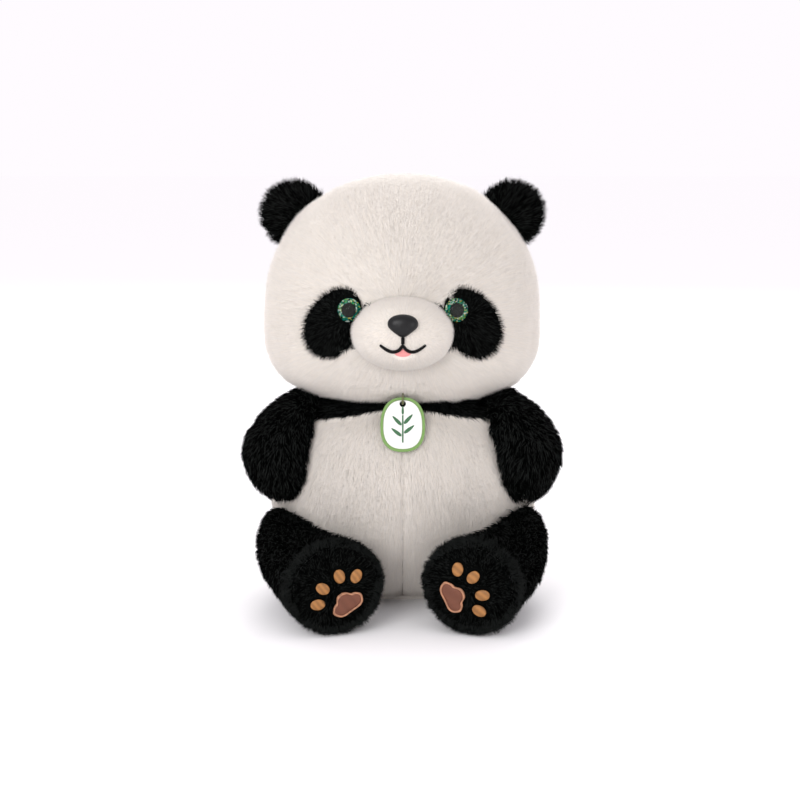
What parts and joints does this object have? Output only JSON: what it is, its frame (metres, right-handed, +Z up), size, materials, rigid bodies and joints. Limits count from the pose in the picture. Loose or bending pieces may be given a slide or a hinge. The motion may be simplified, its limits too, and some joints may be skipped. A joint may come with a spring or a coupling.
{
  "type": "plush panda",
  "caption": "seated soft toy panda with a big round head, black ears, eye patches and limbs, a white belly, paw prints on the soles and a small hang tag",
  "frame": {"origin": "bottom centre of the toy's bounding box, on the surface it sits on", "axes": "+Z up, -Y the way the face looks, +X the toy's own left"},
  "size_m": [0.2202, 0.1976, 0.3027],
  "materials": {
    "white_plush": "long soft pile",
    "short_white_plush": "short dense pile",
    "black_plush": "long soft pile",
    "fibre_filling": "loose polyester fibre",
    "charcoal_plastic": "satin moulded",
    "washer_plastic": "moulded",
    "black_thread": "embroidery thread",
    "pink_felt": "soft felt",
    "glitter_film": "glitter flakes",
    "black_plastic": "polished",
    "clear_plastic": "clear polished",
    "bean_cloth": "plain weave",
    "white_thread": "sewing thread",
    "brown_satin": "satin",
    "tan_thread": "satin stitch",
    "caramel_thread": "satin stitch",
    "olive_cord": "round cord",
    "tag_card": "smooth",
    "tag_green": "moulded rim",
    "tag_ink": "printed"
  },
  "bodies": {
    "torso": {"left_belly_panel": "white_plush", "right_belly_panel": "white_plush", "back_panel": "white_plush", "shoulder_yoke": "black_plush", "base_panel": "white_plush", "torso_stuffing": "fibre_filling", "bean_bag": "bean_cloth", "neck_stitching": "white_thread", "tag_cord": "olive_cord"},
    "head": {"face_panel": "white_plush", "head_back_panel": "white_plush", "head_stuffing": "fibre_filling", "muzzle_cover": "short_white_plush", "muzzle_stuffing": "fibre_filling", "nose": "charcoal_plastic", "nose_washer": "washer_plastic", "mouth_stitching": "black_thread", "tongue": "pink_felt", "left_eye_patch": "black_plush", "right_eye_patch": "black_plush", "left_eye_glitter_disc": "glitter_film", "right_eye_glitter_disc": "glitter_film", "left_eye_pupil": "black_plastic", "right_eye_pupil": "black_plastic", "left_eye_dome": "clear_plastic", "right_eye_dome": "clear_plastic", "left_eye_washer": "washer_plastic", "right_eye_washer": "washer_plastic"},
    "left_arm": {"left_arm_cover": "black_plush", "left_arm_stuffing": "fibre_filling"},
    "right_arm": {"right_arm_cover": "black_plush", "right_arm_stuffing": "fibre_filling"},
    "left_leg": {"left_leg_cover": "black_plush", "left_leg_stuffing": "fibre_filling", "left_sole_panel": "black_plush", "left_main_pad": "brown_satin", "left_pad_edging": "tan_thread", "left_toe_pads": "caramel_thread"},
    "right_leg": {"right_leg_cover": "black_plush", "right_leg_stuffing": "fibre_filling", "right_sole_panel": "black_plush", "right_main_pad": "brown_satin", "right_pad_edging": "tan_thread", "right_toe_pads": "caramel_thread"},
    "left_ear": {"left_ear_front": "black_plush", "left_ear_back": "black_plush"},
    "right_ear": {"right_ear_front": "black_plush", "right_ear_back": "black_plush"},
    "tag": {"tag_plate": "tag_card", "tag_rim": "tag_green", "tag_motif": "tag_ink"}
  },
  "joints": [
    {"name": "head_turn", "type": "hinge", "parent": "torso", "child": "head", "pos_m": [0, 0.0232, 0.1525], "axis": [0, 0, 1], "range_deg": [-25, 25], "stiffness_Nm_per_rad": 0.05},
    {"name": "left_arm_open", "type": "hinge", "parent": "torso", "child": "left_arm", "pos_m": [0.066, 0.0372, 0.15], "axis": [0.212, -0.7912, 0.5736], "range_deg": [0, 35]},
    {"name": "right_arm_open", "type": "hinge", "parent": "torso", "child": "right_arm", "pos_m": [-0.066, 0.0372, 0.15], "axis": [0.212, 0.7912, -0.5736], "range_deg": [0, 35]},
    {"name": "left_leg_spread", "type": "hinge", "parent": "torso", "child": "left_leg", "pos_m": [0.08, 0.0032, 0.044], "axis": [0, 0, 1], "range_deg": [0, 12]},
    {"name": "right_leg_spread", "type": "hinge", "parent": "torso", "child": "right_leg", "pos_m": [-0.08, 0.0032, 0.044], "axis": [0, 0, -1], "range_deg": [0, 12]},
    {"name": "left_ear_fold", "type": "hinge", "parent": "head", "child": "left_ear", "pos_m": [0.0748, 0.0292, 0.2712], "axis": [-0.6112, 0, 0.7915], "range_deg": [-12, 12], "stiffness_Nm_per_rad": 0.02},
    {"name": "right_ear_fold", "type": "hinge", "parent": "head", "child": "right_ear", "pos_m": [-0.0748, 0.0292, 0.2712], "axis": [-0.6112, 0, -0.7915], "range_deg": [-12, 12], "stiffness_Nm_per_rad": 0.02},
    {"name": "tag_swing", "type": "hinge", "parent": "torso", "child": "tag", "pos_m": [0, -0.0398, 0.15], "axis": [0, -0.9613, 0.2756], "range_deg": [-18, 18]}
  ]
}
